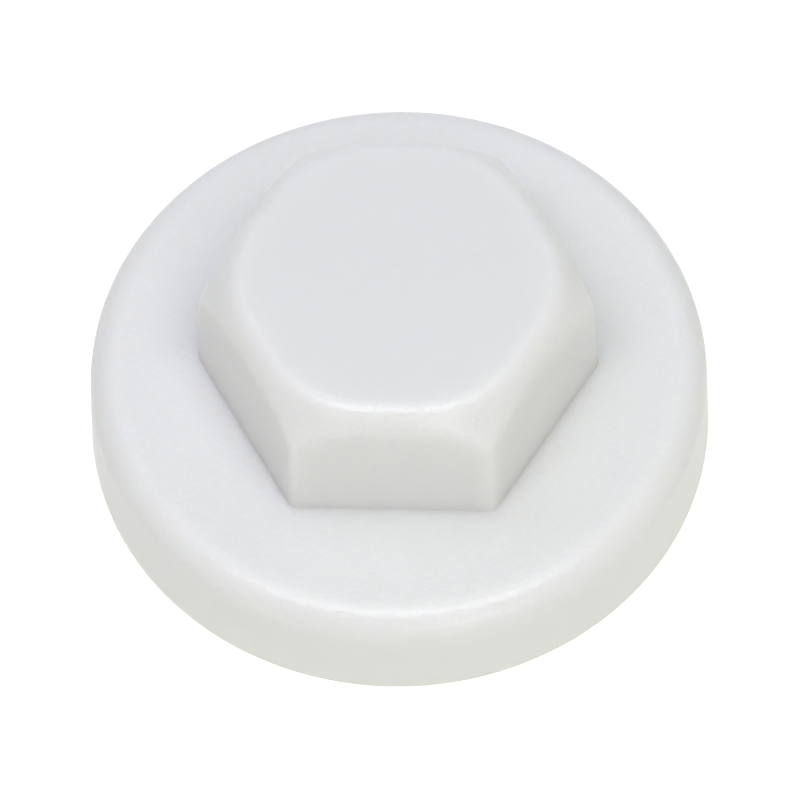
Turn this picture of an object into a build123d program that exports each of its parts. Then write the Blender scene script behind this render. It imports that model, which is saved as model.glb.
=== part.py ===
from build123d import *
from math import cos, radians, tan
import os

os.makedirs("parts", exist_ok=True)

# Push-on cap that hides a hexagon-head roofing screw and the round bonded washer under it.
# The origin is the centre of the rim's underside, and +Z runs up through the hexagon.
# A flat of the hexagon faces -Y. All lengths are in millimetres, all angles in degrees.

# What the cap covers, and how much room it leaves round it
HEAD_ACROSS_FLATS = 8.0
HEAD_HEIGHT = 4.6
HEAD_CLEARANCE = 0.1
HEAD_HEADROOM = 0.2
WASHER_DIAMETER = 16.0
WASHER_CLEARANCE = 0.1
RECESS_DEPTH = 2.1

# Walls of the moulding
COVER_WALL = 1.2
COVER_ROOF = 1.4
RIM_WALL = 1.4
FLANGE_PLATE = 1.4

# Round flange: a drafted wall with a soft upper edge and a crisp foot
FLANGE_DRAFT = 1.8
FLANGE_EDGE_RADIUS = 0.95
FLANGE_FOOT_RADIUS = 0.12

# Hexagonal cover that stands on the flange
COVER_DRAFT = 1.8
COVER_CORNER_RADIUS = 0.6
COVER_ROOT_RADIUS = 0.06

# Crown: a bevel round a top with broad soft corners, which cuts the walls in scallops as on a nut
CROWN_SETBACK = 0.62
CROWN_CORNER_RADIUS = 3.5
CROWN_SLOPE = 52.0
CROWN_SHOULDER_RADIUS = 0.7
CROWN_SCALLOP_RADIUS = 0.9

# Underside
RECESS_LEAD_IN = 0.25
RECESS_CORNER_BEVEL = 0.2
SOCKET_DRAFT = 0.5
SOCKET_LEAD_IN = 0.35

# Slim upright ribs, one on each flat of the socket, that grip the head
RIB_RADIUS = 0.3
RIB_BITE = 0.05
RIB_SETBACK = 0.25
RIB_NOSE = 0.2

HEXAGON_SIDES = 6

# Levels up the axis
flange_top = RECESS_DEPTH + FLANGE_PLATE
socket_depth = HEAD_HEIGHT + HEAD_HEADROOM
cover_top = RECESS_DEPTH + socket_depth + COVER_ROOF
cover_height = cover_top - flange_top
rib_foot = RECESS_DEPTH + SOCKET_LEAD_IN + RIB_SETBACK

# Sizes across, each from the axis outwards
recess_radius = WASHER_DIAMETER / 2 + WASHER_CLEARANCE
flange_radius = recess_radius + RIM_WALL
flange_top_radius = flange_radius - flange_top * tan(radians(FLANGE_DRAFT))
socket_apothem = HEAD_ACROSS_FLATS / 2 + HEAD_CLEARANCE
cover_apothem = socket_apothem + COVER_WALL
cover_reach = cover_apothem / cos(radians(180 / HEXAGON_SIDES))
crown_apothem = cover_apothem - CROWN_SETBACK
bevel_reach = cover_reach - crown_apothem
bevel_foot = cover_top - bevel_reach * tan(radians(CROWN_SLOPE))
rib_centre_radius = HEAD_ACROSS_FLATS / 2 - RIB_BITE + RIB_RADIUS


def corner(section, x, y):
    """The corner of a section that is nearest to a point in its own plane."""
    return section.vertices().sort_by_distance((x, y))[0]


def level_faces(part):
    """The part's level faces, the lowest first."""
    return part.faces().filter_by(GeomType.PLANE).filter_by(Axis.Z).sort_by(Axis.Z)


# One grip rib, with a tapered nose that lets the head slide in
with BuildPart() as rib:
    with BuildSketch(Plane.XY.offset(rib_foot)):
        Circle(RIB_RADIUS)
    extrude(amount=RECESS_DEPTH + socket_depth - rib_foot)
    chamfer(rib.edges().sort_by(Axis.Z)[0], RIB_NOSE)

# Body that trims the cover: its bevel passes outside the hexagon's corners and rises to the crown
with BuildPart() as crown:
    with BuildSketch(Plane.XY.offset(bevel_foot)) as bevel_outline:
        RegularPolygon(crown_apothem + bevel_reach, HEXAGON_SIDES, major_radius=False)
        fillet(bevel_outline.vertices(), CROWN_CORNER_RADIUS + bevel_reach)
    extrude(amount=flange_top - bevel_foot)
    with BuildSketch(Plane.XY.offset(cover_top)) as crown_outline:
        RegularPolygon(crown_apothem, HEXAGON_SIDES, major_radius=False)
        fillet(crown_outline.vertices(), CROWN_CORNER_RADIUS)
    loft([bevel_outline.sketch.face(), crown_outline.sketch.face()], ruled=True)
    fillet(level_faces(crown)[-1].edges(), CROWN_SHOULDER_RADIUS)

with BuildPart() as cap:
    # Drafted hexagon with rounded upright edges
    with BuildSketch(Plane.XY.offset(flange_top)):
        RegularPolygon(cover_apothem, HEXAGON_SIDES, major_radius=False)
    extrude(amount=cover_height, taper=COVER_DRAFT)
    upright_edges = cap.edges().group_by(Axis.Z)[1]
    fillet(upright_edges, COVER_CORNER_RADIUS)

    # The bevel meets the walls in one run of scallops, which is rounded all round the hexagon
    add(crown.part, mode=Mode.INTERSECT)
    walls = [face for face in cap.faces() if abs(face.normal_at().Z) < 0.1]
    scallop_edges = [wall.edges().sort_by(Axis.Z)[-1] for wall in walls]
    fillet(scallop_edges, CROWN_SCALLOP_RADIUS)

    # Flange under the cover, with a small radius in the corner between them
    with BuildSketch(Plane.XZ) as flange_section:
        with BuildLine():
            Polyline(
                (0, 0),
                (flange_radius, 0),
                (flange_top_radius, flange_top),
                (0, flange_top),
                close=True,
            )
        make_face()
        fillet(corner(flange_section, flange_radius, 0), FLANGE_FOOT_RADIUS)
        fillet(corner(flange_section, flange_top_radius, flange_top), FLANGE_EDGE_RADIUS)
    revolve(axis=Axis.Z)
    flange_face = level_faces(cap)[1]
    fillet(flange_face.inner_wires().edges(), COVER_ROOT_RADIUS)

    # Washer recess, with a bevelled mouth and a bevelled corner under the flange
    with BuildSketch(Plane.XZ) as recess_section:
        with BuildLine():
            Polyline(
                (0, 0),
                (recess_radius + RECESS_LEAD_IN, 0),
                (recess_radius, RECESS_LEAD_IN),
                (recess_radius, RECESS_DEPTH),
                (0, RECESS_DEPTH),
                close=True,
            )
        make_face()
        chamfer(corner(recess_section, recess_radius, RECESS_DEPTH), RECESS_CORNER_BEVEL)
    revolve(axis=Axis.Z, mode=Mode.SUBTRACT)

    # Drafted hexagon socket with a bevelled mouth
    with BuildSketch(Plane.XY.offset(RECESS_DEPTH)):
        RegularPolygon(socket_apothem, HEXAGON_SIDES, major_radius=False)
    extrude(amount=socket_depth, taper=SOCKET_DRAFT, mode=Mode.SUBTRACT)
    seat_face = level_faces(cap)[1]
    chamfer(seat_face.inner_wires().edges(), SOCKET_LEAD_IN)

    # Grip ribs, one in the middle of each flat
    with PolarLocations(rib_centre_radius, HEXAGON_SIDES, start_angle=180 / HEXAGON_SIDES):
        add(rib)

cap.part.label = "cap"
export_step(cap.part, "parts/cap.step")
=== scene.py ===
import math

import bpy
from mathutils import Matrix, Vector


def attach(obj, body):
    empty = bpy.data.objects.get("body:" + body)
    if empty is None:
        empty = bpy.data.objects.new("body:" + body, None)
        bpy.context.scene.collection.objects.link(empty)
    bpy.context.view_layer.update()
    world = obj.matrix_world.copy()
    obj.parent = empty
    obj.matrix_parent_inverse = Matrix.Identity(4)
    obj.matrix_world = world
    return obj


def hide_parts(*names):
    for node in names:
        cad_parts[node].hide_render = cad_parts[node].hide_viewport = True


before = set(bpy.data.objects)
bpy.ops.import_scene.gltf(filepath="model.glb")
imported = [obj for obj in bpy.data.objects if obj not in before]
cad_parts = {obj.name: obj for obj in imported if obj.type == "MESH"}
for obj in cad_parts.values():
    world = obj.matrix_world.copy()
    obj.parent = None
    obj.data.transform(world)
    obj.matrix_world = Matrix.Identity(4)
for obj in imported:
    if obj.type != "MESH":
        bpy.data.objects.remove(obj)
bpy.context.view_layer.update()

MM = 0.001

# Sizes of the moulding, in metres and radians, as in the solid model apart from two radii, which
# are set closer to the real cap: COVER_CORNER_RADIUS and CROWN_SCALLOP_RADIUS
HEXAGON_SIDES = 6
HEAD_APOTHEM = 4.0 * MM
HEAD_CLEARANCE = 0.1 * MM
SOCKET_DEPTH = 4.8 * MM
WASHER_RADIUS = 8.0 * MM
WASHER_CLEARANCE = 0.1 * MM
RECESS_DEPTH = 2.1 * MM
COVER_WALL = 1.2 * MM
COVER_ROOF = 1.4 * MM
RIM_WALL = 1.4 * MM
FLANGE_PLATE = 1.4 * MM
FLANGE_DRAFT = math.radians(1.8)
FLANGE_EDGE_RADIUS = 0.95 * MM
FLANGE_FOOT_RADIUS = 0.12 * MM
COVER_DRAFT = math.radians(1.8)
COVER_CORNER_RADIUS = 0.35 * MM
COVER_ROOT_RADIUS = 0.06 * MM
CROWN_SETBACK = 0.62 * MM
CROWN_CORNER_RADIUS = 3.5 * MM
CROWN_SLOPE = math.radians(52)
CROWN_SHOULDER_RADIUS = 0.7 * MM
CROWN_SCALLOP_RADIUS = 1.1 * MM
RECESS_LEAD_IN = 0.25 * MM
RECESS_CORNER_BEVEL = 0.2 * MM
SOCKET_DRAFT = math.radians(0.5)
SOCKET_LEAD_IN = 0.35 * MM
RIB_RADIUS = 0.3 * MM
RIB_BITE = 0.05 * MM
RIB_SETBACK = 0.25 * MM
RIB_NOSE = 0.2 * MM

# Levels, radii and the turn from the middle of a flat to a corner, which follow
HALF_SIDE = math.pi / HEXAGON_SIDES
FLANGE_TOP = RECESS_DEPTH + FLANGE_PLATE
SOCKET_ROOF = RECESS_DEPTH + SOCKET_DEPTH
COVER_TOP = SOCKET_ROOF + COVER_ROOF
RECESS_RADIUS = WASHER_RADIUS + WASHER_CLEARANCE
FLANGE_RADIUS = RECESS_RADIUS + RIM_WALL
SOCKET_APOTHEM = HEAD_APOTHEM + HEAD_CLEARANCE
COVER_APOTHEM = SOCKET_APOTHEM + COVER_WALL

# How finely the moulding is meshed, and how many cuts each of its rounds has
SPOKES_PER_SIDE = 96
SECTION_CORNERS = 15
SHOULDER_CUTS = 12
SCALLOP_CUTS = 8
ROOT_CUTS = 4
RIM_CUTS = 16
FOOT_CUTS = 5
BEVEL_CUTS = 1
SETTLING_ROUNDS = 3
WELD_DISTANCE = 0.0001 * MM
CRISP_EDGE = math.radians(32)

# Look of the polymer: its colour, its gloss and how far light gets into it
POLYMER_DARKEST = (0.737, 0.738, 0.730, 1.0)
POLYMER_LIGHTEST = (0.752, 0.753, 0.746, 1.0)
CLOUD_SIZE = 1.6 * MM
POLYMER_ROUGHNESS = 0.34
POLYMER_INDEX = 1.5
LIGHT_REACH = 1.2 * MM
LIGHT_REACH_BY_COLOUR = (1.0, 0.95, 0.85)

# Grain of the eroded mould, with painted sparkle in the colour that stands for glints off the
# grain, and the bands at the edges of its smoother parts
GRAIN_SIZE = 0.15 * MM
GRAIN_DEPTH = 0.02 * MM
# How strongly the grain lightens and darkens the colour: painted sparkle, standing for glints off
# the grain
GRAIN_PAINTED_SPARKLE = 2.0
GRAIN_ROUGHNESS = 0.1
SMOOTHER = 0.6
CROWN_FLAT_STARTS = COVER_TOP - 0.04 * MM
CROWN_FLAT_FULL = COVER_TOP - 0.01 * MM
COVER_WALL_FULL = FLANGE_TOP + 0.4 * MM
COVER_WALL_FADES = COVER_TOP - 2.4 * MM
COVER_WALL_ENDS = COVER_TOP - 1.6 * MM
RIM_WALL_FADES = FLANGE_TOP - 1.4 * MM
RIM_WALL_ENDS = FLANGE_TOP - 0.7 * MM

# Slight sink of the surface, and rare dark specks
SINK_SIZE = 4.5 * MM
SINK_DEPTH = 0.004 * MM
SPECK_COLOUR = (0.55, 0.53, 0.50, 1.0)
SPECK_SPACING = 2.4 * MM
SPECK_RADIUS = 0.035 * MM
SPECK_STRENGTH = 0.6

# Studio, in metres. The floor glows a little, which fills the cap's lower parts with light, and
# most of what the camera sees of the floor is plain white.
FLOOR_REACH = 3.0
FLOOR_COLOUR = (0.9, 0.9, 0.9, 1.0)
FLOOR_GLOW_COLOUR = (0.92, 1.0, 0.68, 1.0)
FLOOR_GLOW = 0.225
FLOOR_WHITE = 1.1
FLOOR_WHITE_SHARE = 0.75
LAMP_DISTANCE = 0.6
WHITE = (1.0, 1.0, 1.0, 1.0)

# Camera, at the place where the photograph was taken, with its small steps right and up
CAMERA_AZIMUTH = math.radians(3.29)
CAMERA_ELEVATION = math.radians(59.0)
CAMERA_ROLL = math.radians(-1.81)
CAMERA_DISTANCE = 243.9 * MM
CAMERA_RIGHT = -0.003 * MM
CAMERA_UP = 0.575 * MM
LENS_LENGTH = 355.86
SENSOR_WIDTH = 36.0
NEAREST_SEEN = 0.01
FARTHEST_SEEN = 20.0


class Signal:
    """An output socket of a node tree that takes part in arithmetic."""

    def __init__(self, tree, socket):
        self.tree = tree
        self.socket = socket

    def math(self, operation, *others):
        values = dict(enumerate((self, *others)))
        return self.tree.add("ShaderNodeMath", {"operation": operation}, values)

    def __add__(self, other):
        return self.math("ADD", other)

    def __sub__(self, other):
        return self.math("SUBTRACT", other)

    def __mul__(self, other):
        return self.math("MULTIPLY", other)

    def __truediv__(self, other):
        return self.math("DIVIDE", other)

    def __mod__(self, other):
        return self.math("FLOORED_MODULO", other)

    def __radd__(self, other):
        return self.math("ADD", other)

    def __rsub__(self, other):
        return self.tree.add("ShaderNodeMath", {"operation": "SUBTRACT"}, {0: other, 1: self})

    def __rmul__(self, other):
        return self.math("MULTIPLY", other)

    def __gt__(self, other):
        return self.math("GREATER_THAN", other)

    def __lt__(self, other):
        return self.math("LESS_THAN", other)


class Tree:
    """A node tree, with one method that adds a node, sets it up and links it."""

    def __init__(self, tree):
        self.tree = tree

    def add(self, kind, settings=None, inputs=None, output=0):
        node = self.tree.nodes.new(kind)
        for name, value in (settings or {}).items():
            setattr(node, name, value)
        for key, value in (inputs or {}).items():
            if isinstance(value, Signal):
                self.tree.links.new(value.socket, node.inputs[key])
            else:
                node.inputs[key].default_value = value
        return Signal(self, node.outputs[output]) if node.outputs else None


def choose(index, values):
    """The value whose place in the list is the index."""
    tree = index.tree
    chosen = tree.add("GeometryNodeIndexSwitch", {"data_type": "FLOAT"}, {"Index": index})
    node = chosen.socket.node
    while len(node.index_switch_items) < len(values):
        node.index_switch_items.new()
    for socket, value in zip(node.inputs[1:], values):
        if isinstance(value, Signal):
            tree.tree.links.new(value.socket, socket)
        else:
            socket.default_value = value
    return Signal(tree, node.outputs[0])


def hexagon_reach(apothem, turn, corner_radius):
    """How far a hexagon with rounded corners reaches at a turn from the middle of a flat."""
    size_of_turn = turn.math("ABSOLUTE")
    corner_centre = (apothem - corner_radius) / math.cos(HALF_SIDE)
    beside = corner_centre * (HALF_SIDE - size_of_turn).math("SINE")
    along = corner_centre * (HALF_SIDE - size_of_turn).math("COSINE")
    on_corner = along + (corner_radius * corner_radius - beside * beside).math("SQRT")
    on_flat = apothem / turn.math("COSINE")
    corner_starts = ((apothem - corner_radius) * math.tan(HALF_SIDE) / apothem).math("ARCTANGENT")
    return on_flat + (size_of_turn > corner_starts) * (on_corner - on_flat)


def outside_hexagon(apothem, turn, corner_radius, reach):
    """How far a point outside a hexagon with rounded corners is from it.

    The point is given by its turn from the middle of a flat and its distance from the axis.
    """
    inner_apothem = apothem - corner_radius
    ahead = reach * turn.math("COSINE") - inner_apothem
    beside = reach * turn.math("ABSOLUTE").math("SINE") - inner_apothem * math.tan(HALF_SIDE)
    beside = beside.math("MAXIMUM", 0.0)
    return (ahead * ahead + beside * beside).math("SQRT") - corner_radius


def rib_reach(wall, turn, rib_centre, rib_radius):
    """How far the socket reaches where a half-round rib stands on the middle of its wall."""
    beside = rib_centre * turn.math("SINE")
    inside = rib_radius * rib_radius - beside * beside
    on_rib = rib_centre * turn.math("COSINE") - inside.math("MAXIMUM", 0.0).math("SQRT")
    return wall + (inside > 0.0) * (on_rib.math("MINIMUM", wall) - wall)


def cap_section(size, turn):
    """The corners of the cap's section at one turn.

    They run from the crown's middle down the outside, then under and up into the socket. Each is
    a radius, a height, the radius that rounds it and the number of cuts in that round.
    """
    flange_lean = size["Flange draft"].math("TANGENT")
    flange_top_radius = size["Flange radius"] - size["Flange top"] * flange_lean
    cover_foot = hexagon_reach(size["Cover apothem"], turn, size["Cover corner radius"])
    crown_apothem = size["Cover apothem"] - size["Crown setback"]
    crown_flat = hexagon_reach(crown_apothem, turn, size["Crown corner radius"])

    # The bevel falls from the crown's flat until it meets the drafted wall, in a few rounds
    fall = size["Crown slope"].math("TANGENT")
    lean = size["Cover draft"].math("TANGENT") * cover_foot / size["Cover apothem"]
    scallop_height = size["Cover top"]
    for _ in range(SETTLING_ROUNDS):
        scallop = cover_foot - lean * (scallop_height - size["Flange top"])
        past_flat = outside_hexagon(crown_apothem, turn, size["Crown corner radius"], scallop)
        scallop_height = size["Cover top"] - past_flat * fall

    socket_draft = size["Socket draft"].math("TANGENT")
    mouth = size["Recess depth"]

    def socket_at(height, growth=0.0):
        apothem = size["Socket apothem"] + growth - (height - mouth) * socket_draft
        return apothem / turn.math("COSINE")

    def ribbed_socket_at(height):
        return rib_reach(socket_at(height), turn, size["Rib centre radius"], size["Rib radius"])

    lead_in_top = mouth + size["Socket lead-in"]
    nose_top = size["Rib foot"] + size["Rib nose"]
    roof = size["Socket roof"]
    return [
        (0.0, size["Cover top"], 0.0, 0),
        (crown_flat, size["Cover top"], size["Crown shoulder radius"], SHOULDER_CUTS),
        (scallop, scallop_height, size["Crown scallop radius"], SCALLOP_CUTS),
        (cover_foot, size["Flange top"], size["Cover root radius"], ROOT_CUTS),
        (flange_top_radius, size["Flange top"], size["Flange edge radius"], RIM_CUTS),
        (size["Flange radius"], 0.0, size["Flange foot radius"], FOOT_CUTS),
        (size["Recess radius"] + size["Recess lead-in"], 0.0, 0.0, 0),
        (size["Recess radius"], size["Recess lead-in"], 0.0, 0),
        (size["Recess radius"], mouth, size["Recess corner bevel"], BEVEL_CUTS),
        (socket_at(mouth, size["Socket lead-in"]), mouth, 0.0, 0),
        (socket_at(lead_in_top), lead_in_top, 0.0, 0),
        (socket_at(size["Rib foot"]), size["Rib foot"], 0.0, 0),
        (ribbed_socket_at(nose_top), nose_top, 0.0, 0),
        (ribbed_socket_at(roof), roof, 0.0, 0),
        (0.0, roof, 0.0, 0),
    ]


def cap_tree():
    """Geometry Nodes that sweep the cap's section round its axis and keep the hexagons' flats."""
    sizes = {
        "Cover apothem": COVER_APOTHEM,
        "Cover top": COVER_TOP,
        "Cover draft": COVER_DRAFT,
        "Cover corner radius": COVER_CORNER_RADIUS,
        "Cover root radius": COVER_ROOT_RADIUS,
        "Crown setback": CROWN_SETBACK,
        "Crown corner radius": CROWN_CORNER_RADIUS,
        "Crown slope": CROWN_SLOPE,
        "Crown shoulder radius": CROWN_SHOULDER_RADIUS,
        "Crown scallop radius": CROWN_SCALLOP_RADIUS,
        "Flange radius": FLANGE_RADIUS,
        "Flange top": FLANGE_TOP,
        "Flange draft": FLANGE_DRAFT,
        "Flange edge radius": FLANGE_EDGE_RADIUS,
        "Flange foot radius": FLANGE_FOOT_RADIUS,
        "Recess radius": RECESS_RADIUS,
        "Recess depth": RECESS_DEPTH,
        "Recess lead-in": RECESS_LEAD_IN,
        "Recess corner bevel": RECESS_CORNER_BEVEL,
        "Socket apothem": SOCKET_APOTHEM,
        "Socket roof": SOCKET_ROOF,
        "Socket draft": SOCKET_DRAFT,
        "Socket lead-in": SOCKET_LEAD_IN,
        "Rib radius": RIB_RADIUS,
        "Rib centre radius": HEAD_APOTHEM - RIB_BITE + RIB_RADIUS,
        "Rib foot": RECESS_DEPTH + SOCKET_LEAD_IN + RIB_SETBACK,
        "Rib nose": RIB_NOSE,
    }
    group = bpy.data.node_groups.new("moulded_cap", "GeometryNodeTree")
    for name in sizes:
        group.interface.new_socket(name, in_out="INPUT", socket_type="NodeSocketFloat")
    group.interface.new_socket("Material", in_out="INPUT", socket_type="NodeSocketMaterial")
    group.interface.new_socket("Geometry", in_out="OUTPUT", socket_type="NodeSocketGeometry")

    tree = Tree(group)
    given = group.nodes.new("NodeGroupInput")
    size = {name: Signal(tree, given.outputs[name]) for name in sizes}
    spokes = HEXAGON_SIDES * SPOKES_PER_SIDE
    index = tree.add("GeometryNodeInputIndex")

    # Spokes crowd towards the hexagon's corners, where the surface turns fastest
    spoke = (index / SECTION_CORNERS).math("FLOOR")
    side = (spoke / SPOKES_PER_SIDE).math("FLOOR")
    across = spoke % SPOKES_PER_SIDE * (2.0 / SPOKES_PER_SIDE) - 1.0
    turn = (across * (math.pi / 2)).math("SINE") * HALF_SIDE
    angle = turn + (side * 2.0 + 1.0) * HALF_SIDE

    place = index % SECTION_CORNERS
    radii, heights, rounds, cuts = zip(*cap_section(size, turn))
    radius = choose(place, radii)
    position = tree.add(
        "ShaderNodeCombineXYZ",
        inputs={
            "X": radius * angle.math("COSINE"),
            "Y": radius * angle.math("SINE"),
            "Z": choose(place, heights),
        },
    )
    points = tree.add(
        "GeometryNodePoints",
        inputs={"Count": spokes * SECTION_CORNERS, "Position": position},
    )
    sections = tree.add(
        "GeometryNodePointsToCurves",
        inputs={"Points": points, "Curve Group ID": spoke},
    )
    rounded = tree.add(
        "GeometryNodeFilletCurve",
        {"mode": "POLY"},
        {"Curve": sections, "Count": choose(place, cuts), "Radius": choose(place, rounds)},
    )

    # A grid takes its corners from the rounded sections, one column to a spoke, and meets itself
    rows = SECTION_CORNERS + sum(cuts)
    grid = tree.add("GeometryNodeMeshGrid", inputs={"Vertices X": spokes + 1, "Vertices Y": rows})
    column = (index / rows).math("FLOOR") % spokes
    section_point = tree.add(
        "GeometryNodeSampleIndex",
        {"data_type": "FLOAT_VECTOR", "domain": "POINT"},
        {
            "Geometry": rounded,
            "Value": tree.add("GeometryNodeInputPosition"),
            "Index": column * rows + index % rows,
        },
    )
    skin = tree.add(
        "GeometryNodeSetPosition",
        inputs={"Geometry": grid, "Position": section_point},
    )
    welded = tree.add(
        "GeometryNodeMergeByDistance",
        inputs={"Geometry": skin, "Distance": WELD_DISTANCE},
    )
    outward = tree.add("GeometryNodeFlipFaces", inputs={"Mesh": welded})
    real = tree.add("GeometryNodeRealizeInstances", inputs={"Geometry": outward})
    finished = tree.add(
        "GeometryNodeSetMaterial",
        inputs={"Geometry": real, "Material": Signal(tree, given.outputs["Material"])},
    )
    result = group.nodes.new("NodeGroupOutput")
    group.links.new(finished.socket, result.inputs["Geometry"])
    return group, sizes


def plain_mesh(piece):
    """The piece's mesh as its modifiers leave it."""
    evaluated = piece.evaluated_get(bpy.context.evaluated_depsgraph_get())
    return bpy.data.meshes.new_from_object(evaluated)


def make_cap(material):
    """The moulding as one plain mesh, which stands for the solid model's node."""
    group, sizes = cap_tree()
    holder = bpy.data.objects.new("cap_by_rule", bpy.data.meshes.new("cap_by_rule"))
    bpy.context.scene.collection.objects.link(holder)
    shaping = holder.modifiers.new("shaping", "NODES")
    shaping.node_group = group
    values = {**sizes, "Material": material}
    for item in group.interface.items_tree:
        if item.in_out == "INPUT":
            shaping[item.identifier] = values[item.name]
    mesh = plain_mesh(holder)
    holder.modifiers.remove(shaping)
    holder.data = mesh

    # Soft shading over the rounds, with the mould's crisp edges kept
    mesh.shade_smooth()
    mesh.set_sharp_from_angle(angle=CRISP_EDGE)
    levelling = holder.modifiers.new("levelling", "WEIGHTED_NORMAL")
    levelling.keep_sharp = True
    levelling.weight = 100
    cap_mesh = plain_mesh(holder)
    bpy.data.objects.remove(holder)

    cap_mesh.name = "moulded_cap"
    cap = bpy.data.objects.new("moulded_cap", cap_mesh)
    bpy.context.scene.collection.objects.link(cap)
    return cap


def noise(tree, place, size, detail):
    """Soft noise from 0 to 1 whose features have a given size in metres."""
    return tree.add(
        "ShaderNodeTexNoise",
        {"noise_dimensions": "3D", "normalize": True},
        {"Vector": place, "Scale": 1.0 / size, "Detail": detail, "Roughness": 0.5},
    )


def mix_colours(tree, share, first, second):
    """The first colour where the share is 0, and the second where it is 1."""
    # The colour mix has its factor at input 0, its colours at 6 and 7, and its result at output 2
    return tree.add("ShaderNodeMix", {"data_type": "RGBA"}, {0: share, 6: first, 7: second}, 2)


def fade(value, start, end):
    """0 up to the start, 1 past the end, and a smooth rise between them."""
    return value.tree.add(
        "ShaderNodeMapRange",
        {"interpolation_type": "SMOOTHSTEP"},
        {"Value": value, "From Min": start, "From Max": end},
    )


def eroded_share(tree, place):
    """1 where the mould is fully eroded, and less on the crown's flat and on the walls."""
    level = tree.add("ShaderNodeSeparateXYZ", inputs={0: place}, output="Z")
    on_flat = fade(level, CROWN_FLAT_STARTS, CROWN_FLAT_FULL)
    above_foot = fade(level, FLANGE_TOP, COVER_WALL_FULL)
    on_cover_wall = above_foot * (1.0 - fade(level, COVER_WALL_FADES, COVER_WALL_ENDS))
    on_rim_wall = 1.0 - fade(level, RIM_WALL_FADES, RIM_WALL_ENDS)
    smooth = on_flat.math("MAXIMUM", on_cover_wall).math("MAXIMUM", on_rim_wall)
    return 1.0 - SMOOTHER * smooth


def white_polymer():
    """Soft white plastic, a little see-through, from a finely eroded mould, with painted sparkle
    from its grain in the colour.
    """
    material = bpy.data.materials.new("white_polymer")
    material.use_nodes = True
    material.node_tree.nodes.clear()
    tree = Tree(material.node_tree)
    place = tree.add("ShaderNodeTexCoord", output="Object")

    eroded = eroded_share(tree, place)
    grain = noise(tree, place, GRAIN_SIZE, 1.0) - 0.5
    sink = noise(tree, place, SINK_SIZE, 1.0) - 0.5
    clouds = noise(tree, place, CLOUD_SIZE, 2.0)
    cell = tree.add(
        "ShaderNodeTexVoronoi",
        {"voronoi_dimensions": "3D", "feature": "F1"},
        {"Vector": place, "Scale": 1.0 / SPECK_SPACING, "Randomness": 1.0},
        "Distance",
    )
    speck = (cell * SPECK_SPACING) < SPECK_RADIUS

    # The colour has random clouds, plus painted sparkle where the grain lightens and darkens it
    # in place of glints
    clouds_and_painted_sparkle = clouds + grain * eroded * GRAIN_PAINTED_SPARKLE
    tone_and_painted_sparkle = mix_colours(tree, clouds_and_painted_sparkle, POLYMER_DARKEST, POLYMER_LIGHTEST)
    colour = mix_colours(tree, speck * SPECK_STRENGTH, tone_and_painted_sparkle, SPECK_COLOUR)
    height = grain * eroded * GRAIN_DEPTH + sink * SINK_DEPTH
    relief = tree.add(
        "ShaderNodeBump",
        inputs={"Strength": 1.0, "Distance": 1.0, "Height": height},
    )
    polymer = tree.add(
        "ShaderNodeBsdfPrincipled",
        {"subsurface_method": "RANDOM_WALK"},
        {
            "Base Color": colour,
            "Roughness": POLYMER_ROUGHNESS + GRAIN_ROUGHNESS * grain,
            "Normal": relief,
            "IOR": POLYMER_INDEX,
            "Subsurface Weight": 1.0,
            "Subsurface Radius": LIGHT_REACH_BY_COLOUR,
            "Subsurface Scale": LIGHT_REACH,
        },
    )
    tree.add("ShaderNodeOutputMaterial", inputs={"Surface": polymer})
    return material


def seen_directly(tree):
    """1 for what the camera sees, straight or through a reflection or a clear piece."""
    path = tree.tree.nodes.new("ShaderNodeLightPath")
    straight = Signal(tree, path.outputs["Is Camera Ray"])
    mirrored = Signal(tree, path.outputs["Is Glossy Ray"])
    through = Signal(tree, path.outputs["Is Transmission Ray"])
    return straight.math("MAXIMUM", mirrored).math("MAXIMUM", through)


def studio_floor():
    """A wide pale floor, white to the camera except where the cap shades it."""
    material = bpy.data.materials.new("studio_floor")
    material.use_nodes = True
    material.node_tree.nodes.clear()
    tree = Tree(material.node_tree)
    lit = tree.add(
        "ShaderNodeBsdfPrincipled",
        inputs={
            "Base Color": FLOOR_COLOUR,
            "Roughness": 1.0,
            "Specular IOR Level": 0.0,
            "Emission Color": FLOOR_GLOW_COLOUR,
            "Emission Strength": FLOOR_GLOW,
        },
    )
    shown = tree.add("ShaderNodeEmission", inputs={"Color": WHITE, "Strength": FLOOR_WHITE})
    share = seen_directly(tree) * FLOOR_WHITE_SHARE
    blend = tree.add("ShaderNodeMixShader", inputs={0: share, 1: lit, 2: shown})
    tree.add("ShaderNodeOutputMaterial", inputs={"Surface": blend})

    mesh = bpy.data.meshes.new("studio_floor")
    around = ((-1, -1), (1, -1), (1, 1), (-1, 1))
    corners = [(x * FLOOR_REACH, y * FLOOR_REACH, 0) for x, y in around]
    mesh.from_pydata(corners, [], [(0, 1, 2, 3)])
    mesh.materials.append(material)
    floor = bpy.data.objects.new("studio_floor", mesh)
    bpy.context.scene.collection.objects.link(floor)


def studio_world(strength, colour):
    """Even light from all round, which the camera sees as white."""
    world = bpy.data.worlds.new("studio_world")
    world.use_nodes = True
    world.node_tree.nodes.clear()
    tree = Tree(world.node_tree)
    lit = tree.add("ShaderNodeBackground", inputs={"Color": colour, "Strength": strength})
    shown = tree.add("ShaderNodeBackground", inputs={"Color": WHITE, "Strength": 1.0})
    blend = tree.add("ShaderNodeMixShader", inputs={0: seen_directly(tree), 1: lit, 2: shown})
    tree.add("ShaderNodeOutputWorld", inputs={"Surface": blend})
    bpy.context.scene.world = world


def way_to(azimuth, elevation):
    """The way from the cap to a place round it. Azimuth 0 is in front and grows to the right."""
    level = math.cos(elevation)
    return Vector((
        math.sin(azimuth) * level,
        -math.cos(azimuth) * level,
        math.sin(elevation),
    ))


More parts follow.
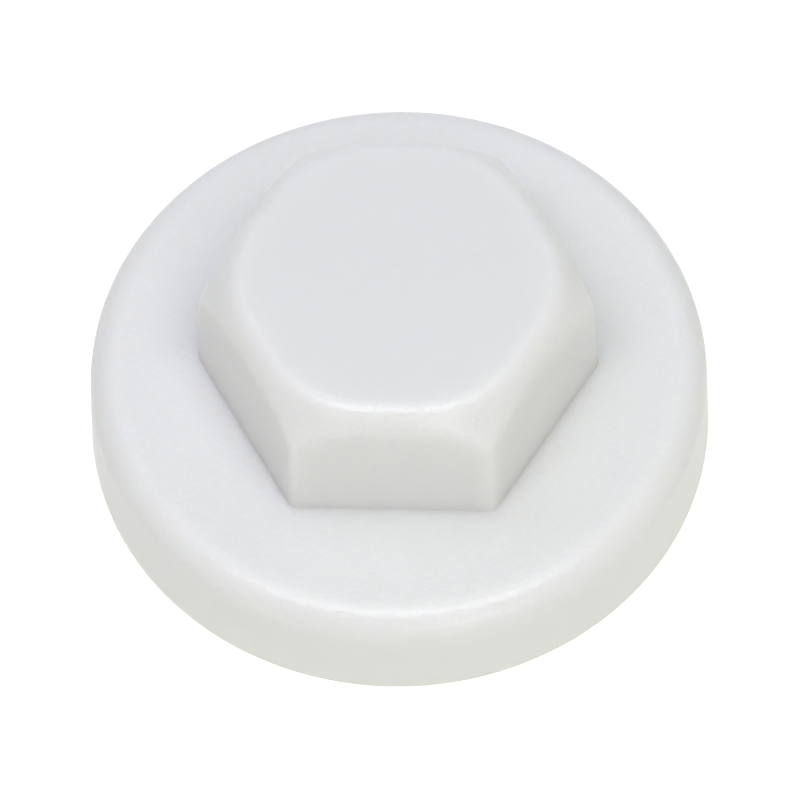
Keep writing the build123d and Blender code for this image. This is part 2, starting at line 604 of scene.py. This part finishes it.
def lamp(name, azimuth, elevation, width, height, strength, colour):
    """A soft box that faces the cap, with its angles in degrees and its size in metres."""
    way = way_to(math.radians(azimuth), math.radians(elevation))
    light = bpy.data.lights.new(name, "AREA")
    light.shape = "RECTANGLE"
    light.size, light.size_y = width, height
    light.energy = strength
    light.color = colour
    box = bpy.data.objects.new(name, light)
    box.location = way * LAMP_DISTANCE
    box.rotation_euler = way.to_track_quat("Z", "Y").to_euler()
    bpy.context.scene.collection.objects.link(box)


def camera():
    """The camera, where the photograph was taken from."""
    back = way_to(CAMERA_AZIMUTH, CAMERA_ELEVATION)
    level = Vector((math.cos(CAMERA_AZIMUTH), math.sin(CAMERA_AZIMUTH), 0.0))
    upward = back.cross(level)
    right = math.cos(CAMERA_ROLL) * level + math.sin(CAMERA_ROLL) * upward
    top = -math.sin(CAMERA_ROLL) * level + math.cos(CAMERA_ROLL) * upward
    place = CAMERA_DISTANCE * back + CAMERA_RIGHT * right + CAMERA_UP * top

    lens = bpy.data.cameras.new("camera")
    lens.sensor_fit = "HORIZONTAL"
    lens.sensor_width = SENSOR_WIDTH
    lens.lens = LENS_LENGTH
    lens.clip_start = NEAREST_SEEN
    lens.clip_end = FARTHEST_SEEN
    viewer = bpy.data.objects.new("camera", lens)
    viewer.matrix_world = Matrix((
        (right.x, top.x, back.x, place.x),
        (right.y, top.y, back.y, place.y),
        (right.z, top.z, back.z, place.z),
        (0.0, 0.0, 0.0, 1.0),
    ))
    bpy.context.scene.collection.objects.link(viewer)
    bpy.context.scene.camera = viewer


cap = make_cap(white_polymer())
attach(cap, "root")
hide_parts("cap")

# Light: each lamp has an azimuth, an elevation, a width, a height, a strength and a colour
studio_floor()
studio_world(0.17, (1.0, 0.97, 0.64, 1.0))
lamp("overhead_strip", 3.3, 73, 0.6, 0.12, 2.45, (0.9, 0.91, 0.96))
lamp("overhead", 183.3, 80, 0.3, 0.3, 0.4, (0.75, 1.0, 0.9))
lamp("front_right", 20, 17, 0.15, 0.12, 0.42, (1.0, 0.95, 0.88))
lamp("high_right", 22, 35, 0.2, 0.2, 0.2, (0.65, 0.6, 0.9))
lamp("low_back", 183.3, 15, 0.6, 0.2, 0.35, (0.57, 0.63, 1.0))
lamp("back", 183.3, 45, 0.5, 0.3, 0.12, (0.5, 0.5, 1.0))
lamp("back_left", -121.7, 60, 0.35, 0.35, 0.48, (0.78, 0.66, 1.0))
lamp("back_right", 128.3, 60, 0.35, 0.35, 0.2, (1.0, 0.9, 1.0))
lamp("upper_left", -56.7, 61, 0.25, 0.25, 0.1, (0.45, 0.45, 1.0))
camera()
bpy.context.scene.view_settings.view_transform = "Standard"
